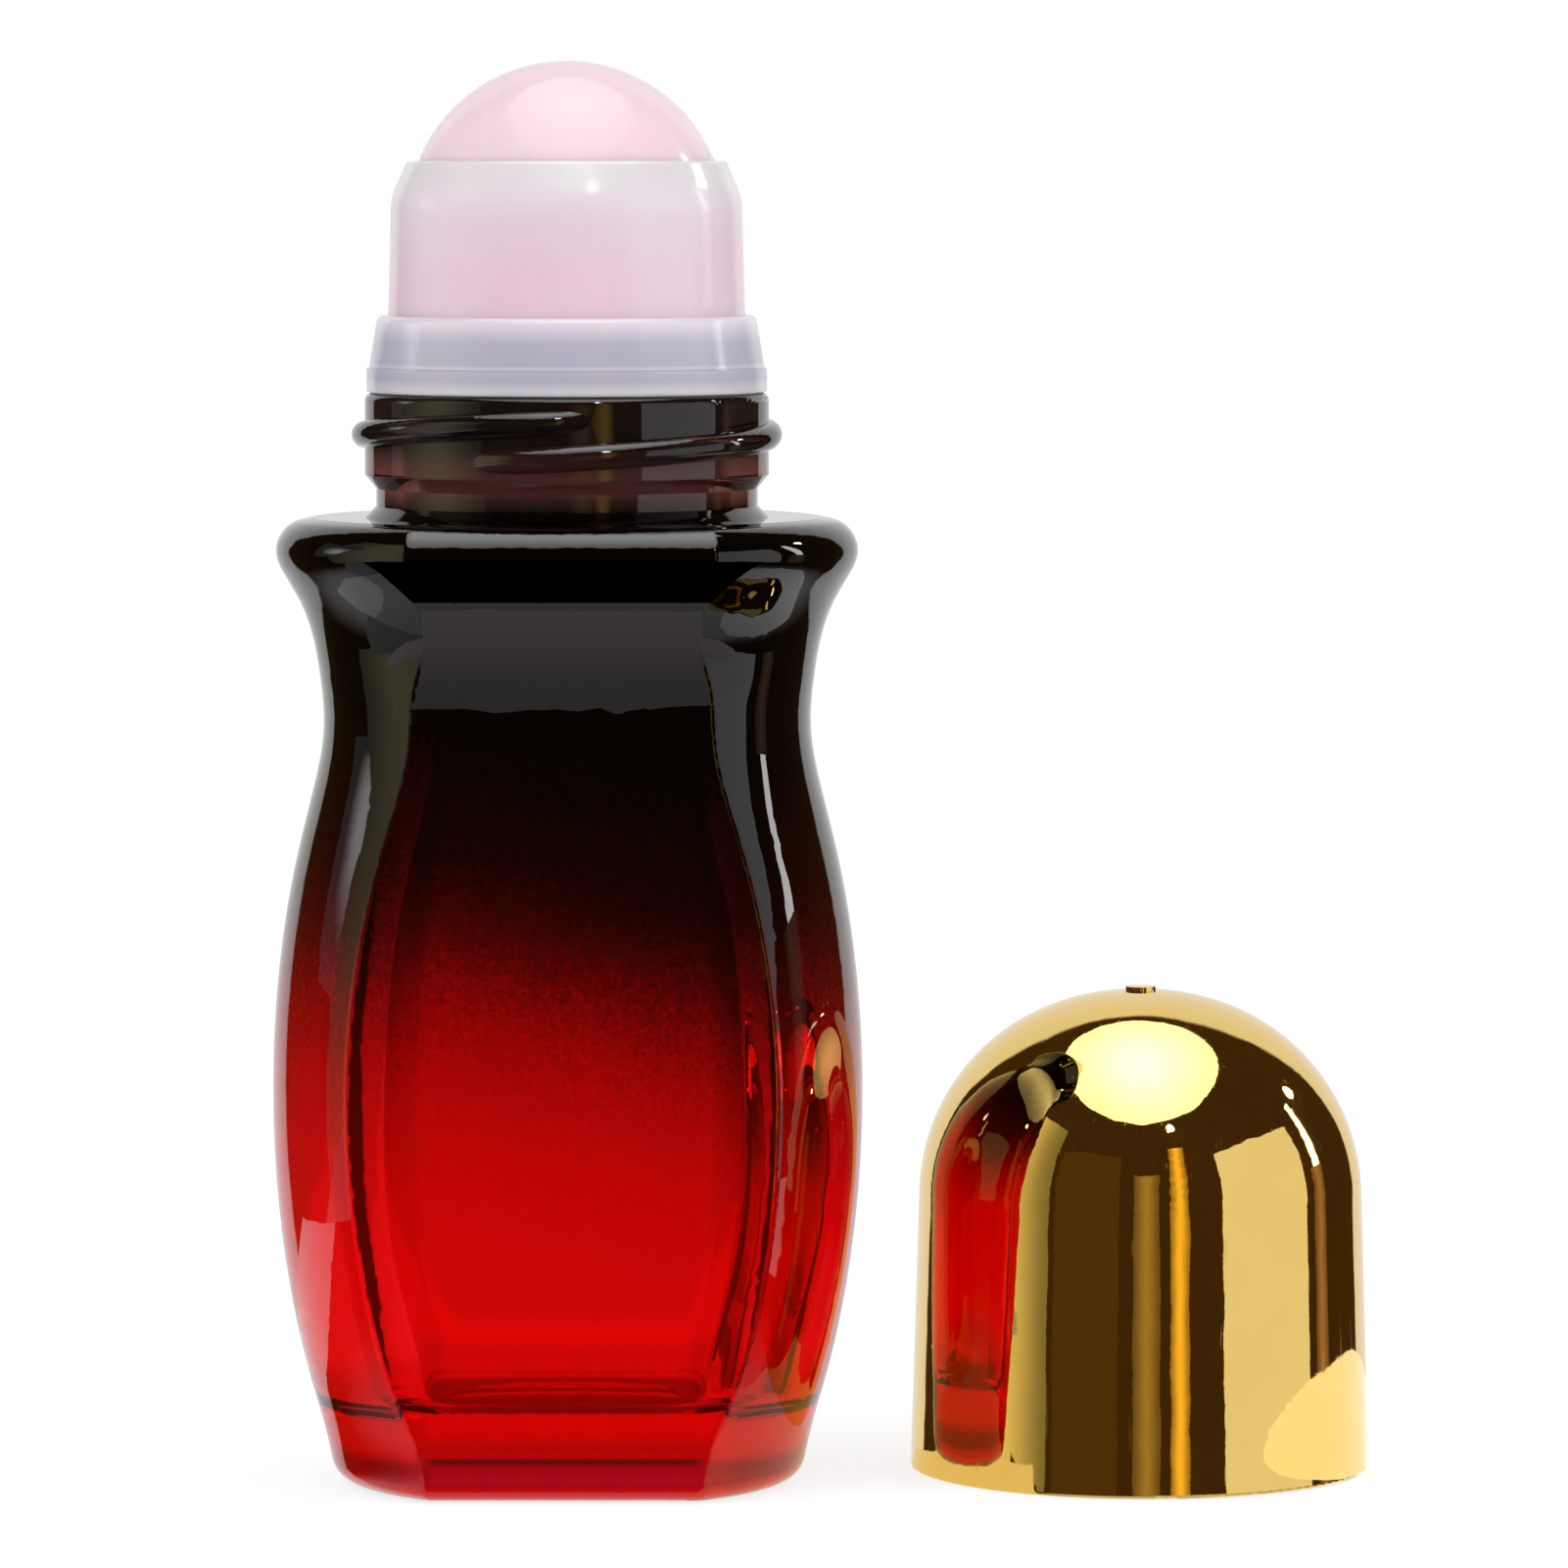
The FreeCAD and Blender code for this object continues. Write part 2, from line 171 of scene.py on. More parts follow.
lacquer = ramp(tree, [
    (0.0, (0.90, 0.010, 0.016)),
    (0.16, (0.85, 0.009, 0.015)),
    (0.34, (0.71, 0.008, 0.013)),
    (0.47, (0.50, 0.006, 0.010)),
    (0.60, (0.22, 0.004, 0.006)),
    (0.75, (0.057, 0.002, 0.003)),
    (1.0, (0.0, 0.0, 0.0)),
])
join(tree,
     (split, "X", lean, 0),
     (split, "Z", level, 0),
     (lean, 0, level, 1),
     (place, "Object", clouds, "Vector"),
     (clouds, 0, cloud_shift, 0),
     (level, 0, clouded, 0),
     (cloud_shift, 0, clouded, 1),
     (place, "Object", drops, "Vector"),
     (drops, 0, drop_shift, 0),
     (clouded, 0, speckled, 0),
     (drop_shift, 0, speckled, 1),
     (speckled, 0, fade, 0),
     (fade, 0, lacquer, 0))

# neck: the smoky coat takes over at the shoulder and is thinnest below the thread
coat_end = 0.0770
smoke_start = 0.0785
neck_base = 0.078
neck_top = 0.088
neck_start = node(tree, "ShaderNodeMapRange", interpolation_type="SMOOTHSTEP",
                  inputs={"From Min": coat_end, "From Max": smoke_start})
neck_height = node(tree, "ShaderNodeMapRange", inputs={"From Min": neck_base, "From Max": neck_top})
neck_tone = ramp(tree, [
    (0.0, (0.06, 0.028, 0.024)),
    (0.18, (0.42, 0.170, 0.150)),
    (0.36, (0.26, 0.110, 0.100)),
    (0.50, (0.05, 0.035, 0.033)),
    (1.0, (0.06, 0.036, 0.033)),
])
smoke = node(tree, "ShaderNodeMix", data_type="RGBA")
join(tree,
     (split, "Z", neck_start, 0),
     (split, "Z", neck_height, 0),
     (neck_height, 0, neck_tone, 0),
     (neck_start, 0, smoke, 0),
     (lacquer, 0, smoke, first),
     (neck_tone, 0, smoke, second))

# foot: the solid block of glass under the hollow, with painted light and shade in bands of lighter and
# deeper red
foot_top = 0.010
foot_blend = 0.0085
foot_height = node(tree, "ShaderNodeMapRange", inputs={"From Min": 0.0, "From Max": foot_top})
foot_painted_bands = ramp(tree, [
    (0.0, (0.82, 0.004, 0.020)),
    (0.10, (0.66, 0.004, 0.018)),
    (0.27, (0.40, 0.001, 0.004)),
    (0.38, (0.76, 0.0006, 0.0015)),
    (0.55, (0.86, 0.0006, 0.0015)),
    (0.82, (0.72, 0.0006, 0.0015)),
    (1.0, (0.80, 0.006, 0.010)),
])
foot_end = node(tree, "ShaderNodeMapRange", interpolation_type="SMOOTHSTEP",
                inputs={"From Min": foot_blend, "From Max": foot_top, "To Min": 1.0, "To Max": 0.0})
foot = node(tree, "ShaderNodeMix", data_type="RGBA")
join(tree,
     (split, "Z", foot_height, 0),
     (foot_height, 0, foot_painted_bands, 0),
     (split, "Z", foot_end, 0),
     (foot_end, 0, foot, 0),
     (smoke, mixed, foot, first),
     (foot_painted_bands, 0, foot, second))

# sides: painted shade, past the edges of the panels the lacquer colour counts nearly twice, which darkens
# the bevels and sides
panel_half = 0.0118
side_half = 0.0140
side_most = 0.7
from_axis = node(tree, "ShaderNodeMath", operation="ABSOLUTE")
side_share = node(tree, "ShaderNodeMapRange", interpolation_type="SMOOTHSTEP",
                  inputs={"From Min": panel_half, "From Max": side_half, "To Max": side_most})
painted_side_shade = node(tree, "ShaderNodeMix", data_type="RGBA", blend_type="MULTIPLY")
join(tree,
     (split, "X", from_axis, 0),
     (from_axis, 0, side_share, 0),
     (side_share, 0, painted_side_shade, 0),
     (foot, mixed, painted_side_shade, first),
     (foot, mixed, painted_side_shade, second))

# panel line: a thin dark line of painted shade across the foot of the front panel
line_level = 0.0034
line_core = 0.0001
line_edge = 0.0005
line_depth = 0.9
line_half = 0.0100
shade_line_colour = (0.01, 0.0, 0.0, 1)
line_rise = node(tree, "ShaderNodeMath", operation="SUBTRACT", inputs={1: line_level})
line_off = node(tree, "ShaderNodeMath", operation="ABSOLUTE")
line_high = node(tree, "ShaderNodeMapRange", interpolation_type="SMOOTHSTEP",
                 inputs={"From Min": line_core, "From Max": line_edge, "To Min": line_depth, "To Max": 0.0})
line_wide = node(tree, "ShaderNodeMapRange", interpolation_type="SMOOTHSTEP",
                 inputs={"From Min": line_half, "From Max": panel_half, "To Min": 1.0, "To Max": 0.0})
line_mask = node(tree, "ShaderNodeMath", operation="MULTIPLY")
in_front = node(tree, "ShaderNodeMath", operation="LESS_THAN", inputs={1: 0.0})
front_line = node(tree, "ShaderNodeMath", operation="MULTIPLY")
painted_shade_line = node(tree, "ShaderNodeMix", data_type="RGBA", inputs={second: shade_line_colour})
join(tree,
     (split, "Z", line_rise, 0),
     (line_rise, 0, line_off, 0),
     (line_off, 0, line_high, 0),
     (from_axis, 0, line_wide, 0),
     (line_high, 0, line_mask, 0),
     (line_wide, 0, line_mask, 1),
     (split, "Y", in_front, 0),
     (line_mask, 0, front_line, 0),
     (in_front, 0, front_line, 1),
     (front_line, 0, painted_shade_line, 0),
     (painted_side_shade, mixed, painted_shade_line, first))

# surface: the slow ripple of blown glass, and smudges that dull its gloss a little
ripple = node(tree, "ShaderNodeTexNoise", inputs={"Scale": 90.0, "Detail": 1.0})
ripple_bump = node(tree, "ShaderNodeBump", inputs={"Strength": 0.03, "Distance": 0.002})
glass_marks = handled(tree, place, smudge_scale=60.0, scratch_scale=900.0)
glass_sheen = node(tree, "ShaderNodeMapRange", inputs={"To Min": 0.0, "To Max": 0.02})
glass_skin = node(tree, "ShaderNodeBsdfPrincipled", inputs={"Transmission Weight": 0.95, "IOR": 1.5})
glass_out = node(tree, "ShaderNodeOutputMaterial")
join(tree,
     (painted_shade_line, mixed, glass_skin, "Base Color"),
     (glass_marks, "Smudges", glass_sheen, 0),
     (glass_sheen, 0, glass_skin, "Roughness"),
     (place, "Object", ripple, "Vector"),
     (ripple, 0, ripple_bump, "Height"),
     (ripple_bump, 0, glass_skin, "Normal"),
     (glass_skin, 0, glass_out, 0))
dress("glass_bottle", glass)


# Roller housing: one moulding in milky, half clear polypropylene.
# Its ribbed plug is pushed into the glass neck, and its cup snaps over the ball.
# moulded skin: the slow sink and flow of a moulded wall, with the fine grain of the tool on it
moulded, moulded_in, moulded_out = group_of(
    "moulded_skin", ["Flow Scale", "Grain Scale", "Grain Share"], ["Flow", "Height"])
flow = node(moulded, "ShaderNodeTexNoise", inputs={"Detail": 2.0})
grain = node(moulded, "ShaderNodeTexNoise", inputs={"Detail": 3.0})
grained = node(moulded, "ShaderNodeMath", operation="MULTIPLY_ADD")
join(moulded,
     (moulded_in, "Vector", flow, "Vector"),
     (moulded_in, "Flow Scale", flow, "Scale"),
     (moulded_in, "Vector", grain, "Vector"),
     (moulded_in, "Grain Scale", grain, "Scale"),
     (grain, 0, grained, 0),
     (moulded_in, "Grain Share", grained, 1),
     (flow, 0, grained, 2),
     (flow, 0, moulded_out, "Flow"),
     (grained, 0, moulded_out, "Height"))


def skinned(tree, place, flow_scale, grain_scale, grain_share, strength):
    """Places the moulded skin in a material, with the bump that it makes."""
    made = node(tree, "ShaderNodeGroup", node_tree=moulded, inputs={
        "Flow Scale": flow_scale, "Grain Scale": grain_scale, "Grain Share": grain_share})
    bump = node(tree, "ShaderNodeBump", inputs={"Strength": strength, "Distance": 0.001})
    join(tree, (place, "Object", made, "Vector"), (made, "Height", bump, "Height"))
    return made, bump


# the wall's tone by height, painted light and shade: bluish grey at the collar for the dark neck behind it,
# with a painted light ring in it, and pink where the ball shows through
collar_level = 0.0865
lip_level = 0.1065
milky, tree = fresh_material("milky_plastic")
place = node(tree, "ShaderNodeTexCoord")
milky_wall, milky_bump = skinned(tree, place, flow_scale=120.0, grain_scale=2400.0,
                                 grain_share=0.15, strength=0.06)
milky_axes = node(tree, "ShaderNodeSeparateXYZ")
milky_height = node(tree, "ShaderNodeMapRange", inputs={"From Min": collar_level, "From Max": lip_level})
milky_painted_tone = ramp(tree, [
    (0.0, (0.86, 0.84, 0.90)),
    (0.05, (0.80, 0.77, 0.84)),
    (0.09, (0.58, 0.56, 0.655)),
    (0.128, (0.57, 0.55, 0.645)),
    (0.14, (0.76, 0.73, 0.81)),
    (0.152, (0.58, 0.56, 0.655)),
    (0.24, (0.60, 0.58, 0.685)),
    (0.31, (0.86, 0.80, 0.87)),
    (0.37, (0.98, 0.73, 0.83)),
    (0.50, (0.99, 0.72, 0.82)),
    (0.72, (0.99, 0.77, 0.87)),
    (0.90, (0.99, 0.88, 0.95)),
])
milky_tone = ramp(tree, [(0.3, (0.95, 0.945, 0.955)), (0.7, (1.0, 1.0, 1.0))])
milky_colour = node(tree, "ShaderNodeMix", data_type="RGBA", blend_type="MULTIPLY", inputs={0: 1.0})
milky_marks = handled(tree, place, smudge_scale=90.0, scratch_scale=1500.0)
milky_sheen = node(tree, "ShaderNodeMapRange", inputs={"To Min": 0.16, "To Max": 0.25})
milky_skin = node(tree, "ShaderNodeBsdfPrincipled", inputs={
    "IOR": 1.49, "Transmission Weight": 0.3, "Subsurface Weight": 1.0,
    "Subsurface Radius": (0.0016, 0.0014, 0.0016), "Subsurface Scale": 1.0})
milky_out = node(tree, "ShaderNodeOutputMaterial")
join(tree,
     (place, "Object", milky_axes, 0),
     (milky_axes, "Z", milky_height, 0),
     (milky_height, 0, milky_painted_tone, 0),
     (milky_wall, "Flow", milky_tone, 0),
     (milky_painted_tone, 0, milky_colour, first),
     (milky_tone, 0, milky_colour, second),
     (milky_colour, mixed, milky_skin, "Base Color"),
     (milky_marks, "Smudges", milky_sheen, 0),
     (milky_sheen, 0, milky_skin, "Roughness"),
     (milky_bump, 0, milky_skin, "Normal"),
     (milky_skin, 0, milky_out, 0))
dress("roller_housing", milky)


# Roller ball: a hollow ball blown in pale pink plastic and polished.
# It is trapped loose in the cup of the housing and rolls in it.
pink, tree = fresh_material("polished_pink")
place = node(tree, "ShaderNodeTexCoord")
pink_wall, pink_bump = skinned(tree, place, flow_scale=160.0, grain_scale=3000.0,
                               grain_share=0.10, strength=0.03)
pink_tone = ramp(tree, [(0.3, (0.95, 0.63, 0.695)), (0.7, (0.96, 0.66, 0.72))])
pink_marks = handled(tree, place, smudge_scale=110.0, scratch_scale=1400.0)
pink_sheen = node(tree, "ShaderNodeMapRange", inputs={"To Min": 0.12, "To Max": 0.20})
pink_skin = node(tree, "ShaderNodeBsdfPrincipled", inputs={
    "IOR": 1.49, "Specular IOR Level": 0.18, "Transmission Weight": 0.12, "Subsurface Weight": 0.8,
    "Subsurface Radius": (0.004, 0.0022, 0.0024), "Subsurface Scale": 1.0})
pink_out = node(tree, "ShaderNodeOutputMaterial")
join(tree,
     (pink_wall, "Flow", pink_tone, 0),
     (pink_tone, 0, pink_skin, "Base Color"),
     (pink_marks, "Smudges", pink_sheen, 0),
     (pink_sheen, 0, pink_skin, "Roughness"),
     (pink_bump, 0, pink_skin, "Normal"),
     (pink_skin, 0, pink_out, 0))
dress("roller_ball", pink)


# Cap shell: a domed screw cap moulded in hard plastic and plated mirror gold.
# It stands mouth down beside the bottle, with the gate mark left on its crown.
scratch_roughness = 0.10
gold, tree = fresh_material("gold_plating")
place = node(tree, "ShaderNodeTexCoord")
gold_wall, gold_bump = skinned(tree, place, flow_scale=170.0, grain_scale=1300.0,
                               grain_share=0.05, strength=0.035)
gold_tone = ramp(tree, [(0.3, (0.89, 0.61, 0.175)), (0.7, (0.91, 0.63, 0.19))])
gold_marks = handled(tree, place, smudge_scale=70.0, scratch_scale=3500.0)
gold_smudged = node(tree, "ShaderNodeMapRange", inputs={"To Min": 0.025, "To Max": 0.06})
gold_scratched = node(tree, "ShaderNodeMath", operation="MULTIPLY_ADD", inputs={1: scratch_roughness})
gold_skin = node(tree, "ShaderNodeBsdfPrincipled", inputs={"Metallic": 1.0})
gold_out = node(tree, "ShaderNodeOutputMaterial")
join(tree,
     (gold_wall, "Flow", gold_tone, 0),
     (gold_tone, 0, gold_skin, "Base Color"),
     (gold_marks, "Smudges", gold_smudged, 0),
     (gold_marks, "Scratches", gold_scratched, 0),
     (gold_smudged, 0, gold_scratched, 2),
     (gold_scratched, 0, gold_skin, "Roughness"),
     (gold_bump, 0, gold_skin, "Normal"),
     (gold_skin, 0, gold_out, 0))
dress("cap_shell", gold)


# Cap seal: a soft white dished disc pressed into the ring under the crown.
# Its rim meets the ball when the cap is screwed home.
soft_white, tree = fresh_material("soft_white")
place = node(tree, "ShaderNodeTexCoord")
soft_wall, soft_bump = skinned(tree, place, flow_scale=140.0, grain_scale=2600.0,
                               grain_share=0.4, strength=0.12)
soft_tone = ramp(tree, [(0.3, (0.83, 0.83, 0.80)), (0.7, (0.88, 0.88, 0.86))])
soft_marks = handled(tree, place, smudge_scale=150.0, scratch_scale=1500.0)
soft_sheen = node(tree, "ShaderNodeMapRange", inputs={"To Min": 0.45, "To Max": 0.6})
soft_skin = node(tree, "ShaderNodeBsdfPrincipled", inputs={
    "Subsurface Weight": 0.3, "Subsurface Radius": (0.002, 0.002, 0.002), "Subsurface Scale": 1.0})
soft_out = node(tree, "ShaderNodeOutputMaterial")
join(tree,
     (soft_wall, "Flow", soft_tone, 0),
     (soft_tone, 0, soft_skin, "Base Color"),
     (soft_marks, "Smudges", soft_sheen, 0),
     (soft_sheen, 0, soft_skin, "Roughness"),
     (soft_bump, 0, soft_skin, "Normal"),
     (soft_skin, 0, soft_out, 0))
dress("cap_seal", soft_white)


# Studio floor: a plain white table top, wide enough to run out of every view, with a soft shadow on it.
# Through the glass it shows a painted glow instead: bright near the bottle, a little duller further back,
# with a painted shadow under the foot.
# Polished faces don't see it: the sheets of the cards' section stand for its lit parts there.
table_width = 8
table_level = -0.0001
shade_half_width = 0.0215
shade_half_depth = 0.0150
bpy.ops.mesh.primitive_plane_add(size=table_width, location=(0, 0, table_level))
floor = bpy.context.object
floor.name = "table_top"
floor.visible_glossy = False
white_table, tree = fresh_material("white_table")
rays = node(tree, "ShaderNodeLightPath")
spot = node(tree, "ShaderNodeTexCoord")
spot_axes = node(tree, "ShaderNodeSeparateXYZ")
behind = node(tree, "ShaderNodeMapRange", interpolation_type="SMOOTHSTEP",
              inputs={"From Min": 0.09, "From Max": 0.13, "To Min": 1.0, "To Max": 0.77})
foot_shares = node(tree, "ShaderNodeVectorMath", operation="MULTIPLY",
                   inputs={1: (1 / shade_half_width, 1 / shade_half_depth, 0)})
from_foot = node(tree, "ShaderNodeVectorMath", operation="LENGTH")
foot_shade = node(tree, "ShaderNodeMapRange", interpolation_type="SMOOTHSTEP",
                  inputs={"From Min": 0.75, "From Max": 1.05, "To Min": 0.25, "To Max": 1.0})
seen_through = node(tree, "ShaderNodeMath", operation="MULTIPLY")
bare = node(tree, "ShaderNodeBsdfDiffuse", inputs={"Color": (0.8, 0.8, 0.8, 1)})
shaded = node(tree, "ShaderNodeBsdfDiffuse", inputs={"Color": (0.3, 0.3, 0.3, 1)})
glow = node(tree, "ShaderNodeEmission", inputs={"Color": (1, 1, 1, 1), "Strength": 0.78})
lit = node(tree, "ShaderNodeAddShader")
glass_glow = node(tree, "ShaderNodeEmission", inputs={"Color": (1, 1, 1, 1)})
to_camera = node(tree, "ShaderNodeMixShader")
to_glass = node(tree, "ShaderNodeMixShader")
table_out = node(tree, "ShaderNodeOutputMaterial")
join(tree,
     (spot, "Object", spot_axes, 0),
     (spot_axes, "Y", behind, 0),
     (spot, "Object", foot_shares, 0),
     (foot_shares, 0, from_foot, 0),
     (from_foot, "Value", foot_shade, 0),
     (behind, 0, seen_through, 0),
     (foot_shade, 0, seen_through, 1),
     (seen_through, 0, glass_glow, "Strength"),
     (shaded, 0, lit, 0),
     (glow, 0, lit, 1),
     (rays, "Is Camera Ray", to_camera, 0),
     (bare, 0, to_camera, 1),
     (lit, 0, to_camera, 2),
     (rays, "Is Transmission Ray", to_glass, 0),
     (to_camera, 0, to_glass, 1),
     (glass_glow, 0, to_glass, 2),
     (to_glass, 0, table_out, 0))
floor.data.materials.append(white_table)


# Studio room: a white backdrop behind the object, with rounded corners, and a dark warm room round it.
# The camera sees plain white, and only polished faces and glass see the room.
backdrop_half_width = 0.60
backdrop_half_height = 0.77
corner_power = 3.0
dark_room = (0.052, 0.027, 0.008, 1)
white = (1, 1, 1, 1)
soft_fill = (0.8, 0.8, 0.8, 1)
behind_glass = (0.77, 0.77, 0.77, 1)
room = bpy.data.worlds.new("studio_room")
bpy.context.scene.world = room
room.use_nodes = True
tree = room.node_tree
tree.nodes.clear()
toward = node(tree, "ShaderNodeTexCoord")
shares = node(tree, "ShaderNodeVectorMath", operation="MULTIPLY",
              inputs={1: (1 / backdrop_half_width, 1, 1 / backdrop_half_height)})
sizes_only = node(tree, "ShaderNodeVectorMath", operation="ABSOLUTE")
share_axes = node(tree, "ShaderNodeSeparateXYZ")
across = node(tree, "ShaderNodeMath", operation="POWER", inputs={1: corner_power})
upward = node(tree, "ShaderNodeMath", operation="POWER", inputs={1: corner_power})
outward = node(tree, "ShaderNodeMath", operation="ADD")
inside = node(tree, "ShaderNodeMapRange", interpolation_type="SMOOTHSTEP",
              inputs={"From Min": 0.93, "From Max": 1.07, "To Min": 0.85, "To Max": 0.0})
axes = node(tree, "ShaderNodeSeparateXYZ")
rearward = node(tree, "ShaderNodeMath", operation="GREATER_THAN", inputs={1: 0.0})
backdrop = node(tree, "ShaderNodeMath", operation="MULTIPLY")
below = node(tree, "ShaderNodeMapRange", interpolation_type="SMOOTHSTEP",
             inputs={"From Min": -0.62, "From Max": -0.36, "To Min": 0.6, "To Max": 0.0})
white_share = node(tree, "ShaderNodeMath", operation="ADD")
mirrored = node(tree, "ShaderNodeMix", data_type="RGBA", inputs={first: dark_room, second: white})
path = node(tree, "ShaderNodeLightPath")
fill = node(tree, "ShaderNodeMix", data_type="RGBA", inputs={first: soft_fill})
through = node(tree, "ShaderNodeMix", data_type="RGBA", inputs={second: behind_glass})
whole = node(tree, "ShaderNodeMix", data_type="RGBA", inputs={second: white})
backing = node(tree, "ShaderNodeBackground", inputs={"Strength": 1.0})
room_out = node(tree, "ShaderNodeOutputWorld")
join(tree,
     (toward, "Generated", shares, 0),
     (shares, 0, sizes_only, 0),
     (sizes_only, 0, share_axes, 0),
     (share_axes, "X", across, 0),
     (share_axes, "Z", upward, 0),
     (across, 0, outward, 0),
     (upward, 0, outward, 1),
     (outward, 0, inside, 0),
     (toward, "Generated", axes, 0),
     (axes, "Y", rearward, 0),
     (inside, 0, backdrop, 0),
     (rearward, 0, backdrop, 1),
     (axes, "Z", below, 0),
     (backdrop, 0, white_share, 0),
     (below, 0, white_share, 1),
     (white_share, 0, mirrored, 0),
     (path, "Is Glossy Ray", fill, 0),
     (mirrored, mixed, fill, second),
     (path, "Is Transmission Ray", through, 0),
     (fill, mixed, through, first),
     (path, "Is Camera Ray", whole, 0),
     (through, mixed, whole, first),
     (whole, mixed, backing, "Color"),
     (backing, 0, room_out, 0))


# Studio lamps: soft boxes overhead, front left and right that light the plastic and the floor.
# Their faces stay out of the mirrors, where the cards below stand for them.
middle = (cad_low + cad_high) / 2


def around(centre, azimuth, elevation, distance):
    """The point at this bearing, in degrees to the right of the camera's side and above the level."""
    bearing = math.radians(azimuth)
    rise = math.radians(elevation)
    flat = distance * math.cos(rise)
    return centre + Vector((flat * math.sin(bearing), -flat * math.cos(bearing), distance * math.sin(rise)))


def lamp(name, azimuth, elevation, width, height, brightness, distance=0.8):
    """A soft box aimed at the object, whose face has this brightness."""
    bpy.ops.object.light_add(type="AREA", location=around(middle, azimuth, elevation, distance))
    made = bpy.context.object
    made.name = name
    made.data.shape = "RECTANGLE"
    made.data.size = width
    made.data.size_y = height
    made.data.energy = brightness * math.pi * width * height
    made.rotation_euler = (middle - made.location).to_track_quat("-Z", "Y").to_euler()
    made.visible_glossy = False
    made.visible_transmission = False


lamp("overhead_lamp", azimuth=20, elevation=75, width=0.6, height=0.6, brightness=0.1)
lamp("left_lamp", azimuth=-50, elevation=25, width=0.5, height=0.6, brightness=2.4)
lamp("right_lamp", azimuth=60, elevation=25, width=0.5, height=0.6, brightness=2.9)


# Cards that only polished faces see: the faces of the soft boxes, white and coloured card round the set,
# small bare bulbs for the sharp lights, and sheets lying on the table for its lit parts.
cap_low, cap_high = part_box("cap_shell")
cap_middle = (cap_low + cap_high) / 2


def card(name, place, facing, width, height, brightness, colour=(1, 1, 1),
         hot=1.0, hot_share=1.0, hot_place=(0, 0, 0), fade=(1, 1, 0), oval=False, spin=0):
    """A flat card turned to a point, brighter by the hot factor at its hot place and clear from behind.
    Spin turns it in its own plane, in degrees."""
    half = 0.5
    past_corners = 1.0
    bpy.ops.mesh.primitive_plane_add(size=1, location=place)
    made = bpy.context.object
    made.name = name
    made.scale = (width, height, 1)
    aim = (facing - place).to_track_quat("Z", "Y")
    made.rotation_euler = (aim @ Quaternion((0, 0, 1), math.radians(spin))).to_euler()
    paper, tree = fresh_material(name)
    spot = node(tree, "ShaderNodeTexCoord")
    from_hot = node(tree, "ShaderNodeVectorMath", operation="SUBTRACT", inputs={1: hot_place})
    faded = node(tree, "ShaderNodeVectorMath", operation="MULTIPLY", inputs={1: fade})
    reach = node(tree, "ShaderNodeVectorMath", operation="LENGTH")
    falloff = node(tree, "ShaderNodeMapRange", interpolation_type="SMOOTHSTEP", inputs={
        "From Min": 0.0, "From Max": half * hot_share, "To Min": brightness * hot, "To Max": brightness})
    edge = node(tree, "ShaderNodeMath", operation="GREATER_THAN",
                inputs={1: half if oval else past_corners})
    side = node(tree, "ShaderNodeNewGeometry")
    hidden = node(tree, "ShaderNodeMath", operation="MAXIMUM")
    paper_glow = node(tree, "ShaderNodeEmission", inputs={"Color": (*colour, 1)})
    clear = node(tree, "ShaderNodeBsdfTransparent")
    cut = node(tree, "ShaderNodeMixShader")
    paper_out = node(tree, "ShaderNodeOutputMaterial")
    join(tree,
         (spot, "Object", from_hot, 0),
         (from_hot, 0, faded, 0),
         (faded, 0, reach, 0),
         (reach, "Value", falloff, 0),
         (falloff, 0, paper_glow, "Strength"),
         (reach, "Value", edge, 0),
         (edge, 0, hidden, 0),
         (side, "Backfacing", hidden, 1),
         (hidden, 0, cut, 0),
         (paper_glow, 0, cut, 1),
         (clear, 0, cut, 2),
         (cut, 0, paper_out, 0))
    made.data.materials.append(paper)
    made.visible_camera = False
    made.visible_diffuse = False
    made.visible_transmission = False
    made.visible_shadow = False


def standing_card(name, azimuth, top, width, brightness, distance=0.6, bottom=-0.1, **look):
    """An upright card round the cap, from one height to another."""
    place = around(cap_middle, azimuth, 0, distance)
    place.z = (bottom + top) / 2
    facing = Vector((cap_middle.x, cap_middle.y, place.z))
    card(name, place, facing, width, top - bottom, brightness, **look)


def lying_sheet(name, left, right, front, back, level, brightness, **look):
    """A sheet that lies level and faces up, between these sides."""
    place = Vector(((left + right) / 2, (front + back) / 2, level))
    card(name, place, place + Vector((0, 0, 1)), right - left, back - front, brightness, **look)


# upright cards, from the left round the front to the right
across_only = (1, 0, 0)
standing_card("left_card", azimuth=-77, top=0.57, width=0.61, brightness=0.24,
              colour=(1.0, 0.91, 0.54), hot=3.5, fade=across_only)
standing_card("brown_card", azimuth=-30, top=0.36, width=0.36, brightness=1.0,
              colour=(0.082, 0.046, 0.012))
standing_card("front_strip", azimuth=1.0, distance=0.3, top=0.123, width=0.070, brightness=0.16,
              colour=(1.0, 0.70, 0.24), hot=2.4, fade=across_only)
standing_card("orange_card", azimuth=18, top=0.42, width=0.10, brightness=0.35,
              colour=(1.09, 0.68, 0.10), hot=3.0, fade=across_only)
standing_card("right_card", azimuth=67, top=0.37, width=0.595, brightness=0.89)
standing_card("right_strip", azimuth=105, bottom=0.12, top=0.40, width=0.045, brightness=6.0)
standing_card("right_edge", azimuth=104, top=0.12, width=0.10, brightness=0.5,
              colour=(0.37, 0.21, 0.13), hot=2.0, fade=across_only)

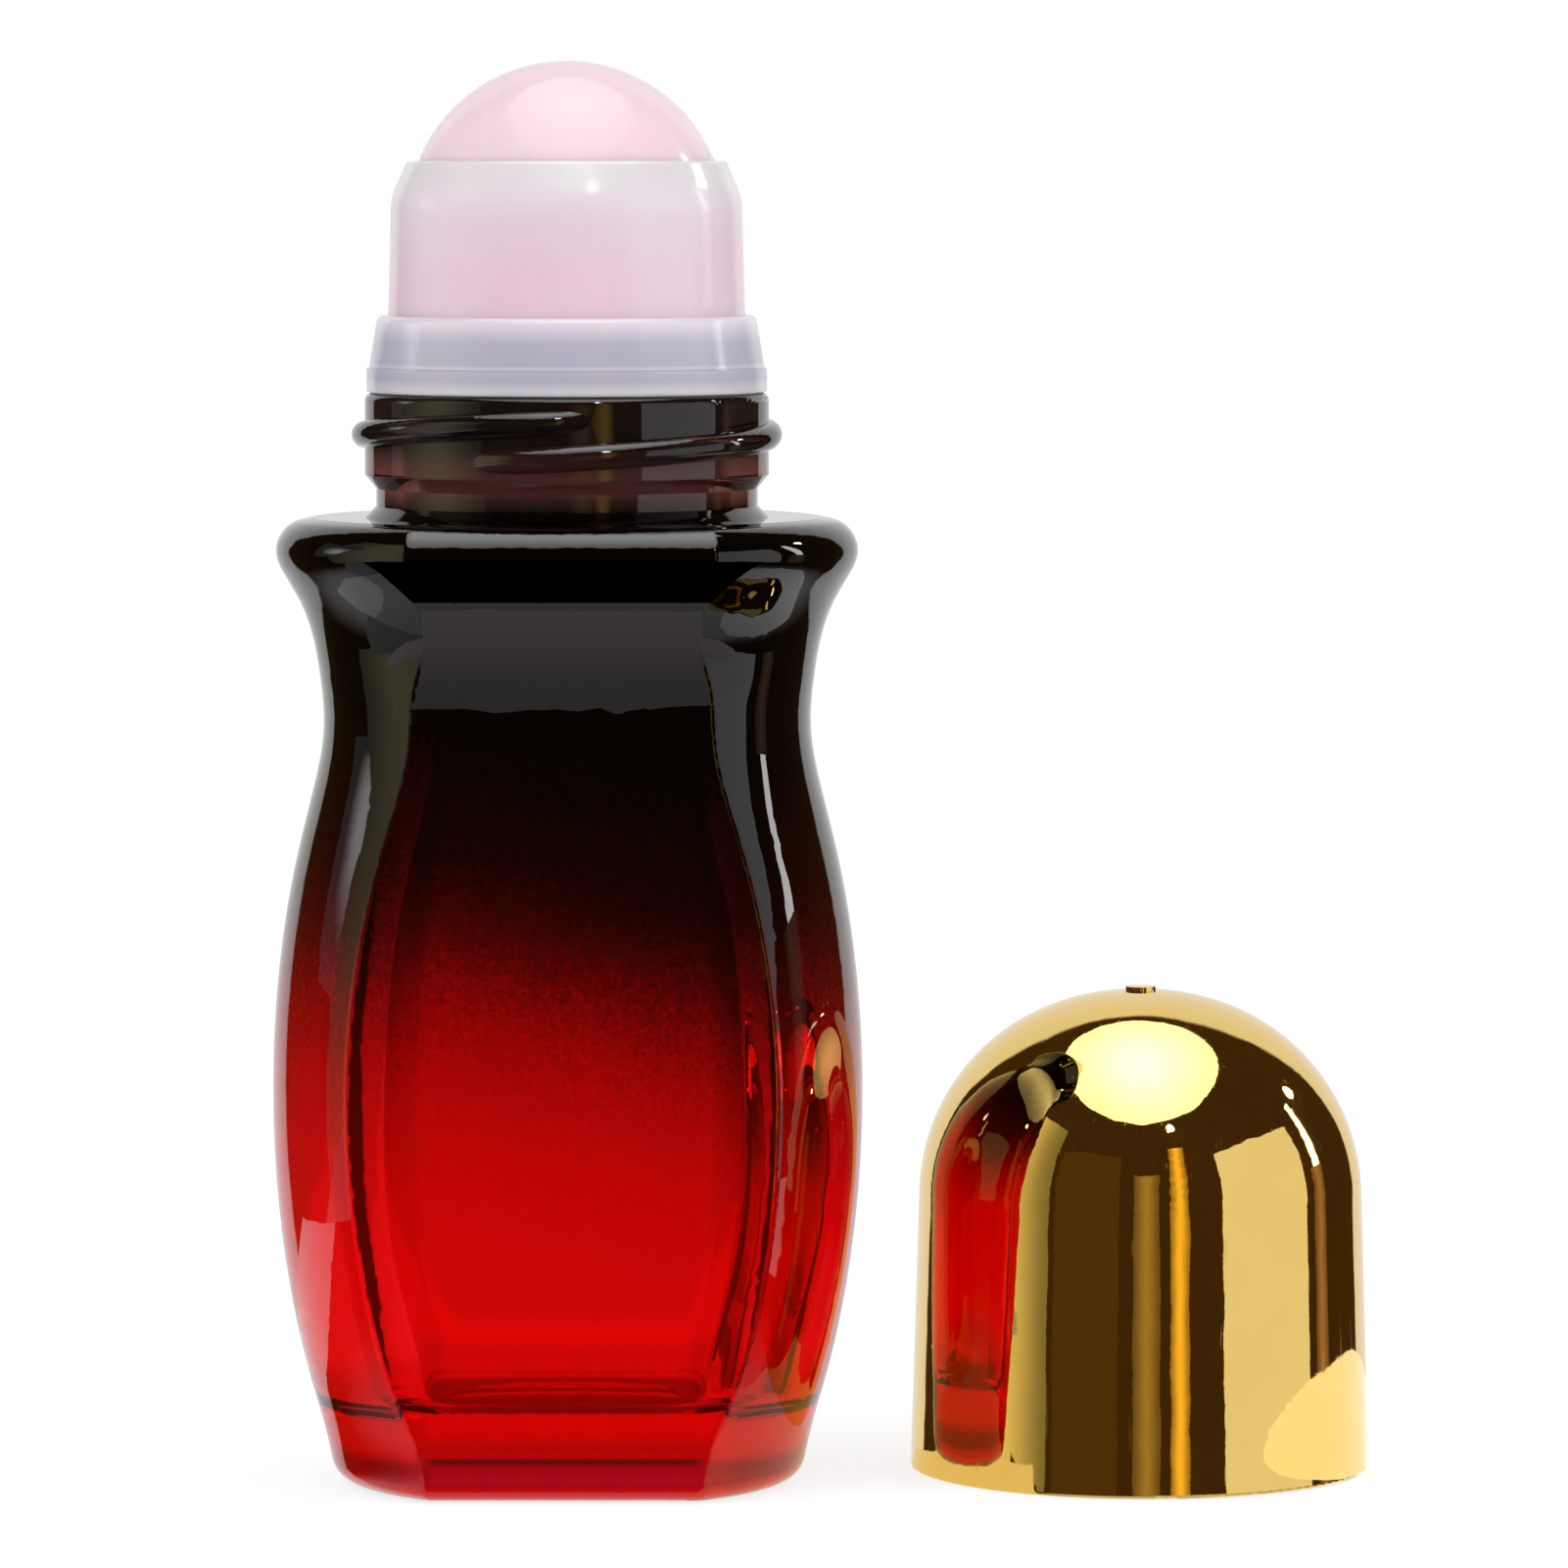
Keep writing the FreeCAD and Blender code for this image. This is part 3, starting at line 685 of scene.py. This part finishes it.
# the box that lights the bottle's left bevel, the one overhead, and the bulbs
left_bevel = Vector((-0.015, -0.013, 0.055))
card("left_panel", around(left_bevel, azimuth=-103, elevation=14, distance=0.6), left_bevel,
     width=0.32, height=0.31, brightness=0.16, hot=15.0, hot_share=0.8)
overhead = cap_middle + Vector((0, -0.06, 0.75))
card("overhead_oval", overhead, cap_middle, width=0.86, height=1.16, brightness=2.2, hot=2.0, oval=True)
card("front_bulb", around(cap_middle, azimuth=17, elevation=44.4, distance=0.8), cap_middle,
     width=0.045, height=0.045, brightness=110.0, oval=True)
card("right_bulb", around(cap_middle, azimuth=117, elevation=32, distance=0.8), cap_middle,
     width=0.06, height=0.06, brightness=30.0, oval=True)

# sheets in front of the bottle, for the pale panel, its dark brow and its dark foot
lying_sheet("front_sheet", left=-0.18, right=0.12, front=-0.094, back=-0.026, level=0.0475, brightness=0.56,
            colour=(1.0, 0.88, 0.95), hot=1.7, hot_share=2.0, fade=(0, 1, 0), hot_place=(0, -0.5, 0))
lying_sheet("brow_shade", left=-0.03, right=0.03, front=-0.06, back=-0.0178, level=0.0712, brightness=0.0)
# painted shade: a near-black card below the table, seen only in reflections, that darkens what the bottle's
# foot reflects
card("painted_foot_shade_card", Vector((0, -0.026, -0.042)), Vector((0, 0, -0.042)),
     width=0.028, height=0.080, brightness=0.03)

# sheets on the table, for the parts of it that shine in the glass and the gold
above_table = 0.001
on_table = -0.00005
lying_sheet("left_table", left=-0.10, right=-0.03, front=0.010, back=0.06, level=above_table,
            brightness=1.0)
lying_sheet("left_low_card", left=-0.30, right=-0.10, front=-0.065, back=0.02, level=above_table,
            brightness=0.38)
lying_sheet("middle_table", left=0.0059, right=0.0324, front=-0.0183, back=0.0117, level=on_table,
            brightness=1.0, colour=(0.86, 0.76, 0.54), spin=32)
lying_sheet("right_table", left=0.06, right=0.15, front=-0.03, back=0.07, level=on_table,
            brightness=1.15, oval=True)


# Camera: a long lens a little above the bottle's middle, as in the photograph.
# It looks slightly down, with no shift and everything in focus.
camera_place = (0.01729, -0.707, 0.10595)
degrees_down = 4.055
bpy.ops.object.camera_add(location=camera_place, rotation=(math.radians(90 - degrees_down), 0, 0))
camera = bpy.context.object
camera.data.lens = 203.68
camera.data.sensor_width = 36
camera.data.clip_start = 0.01
bpy.context.scene.camera = camera
bpy.context.scene.view_settings.view_transform = "Standard"
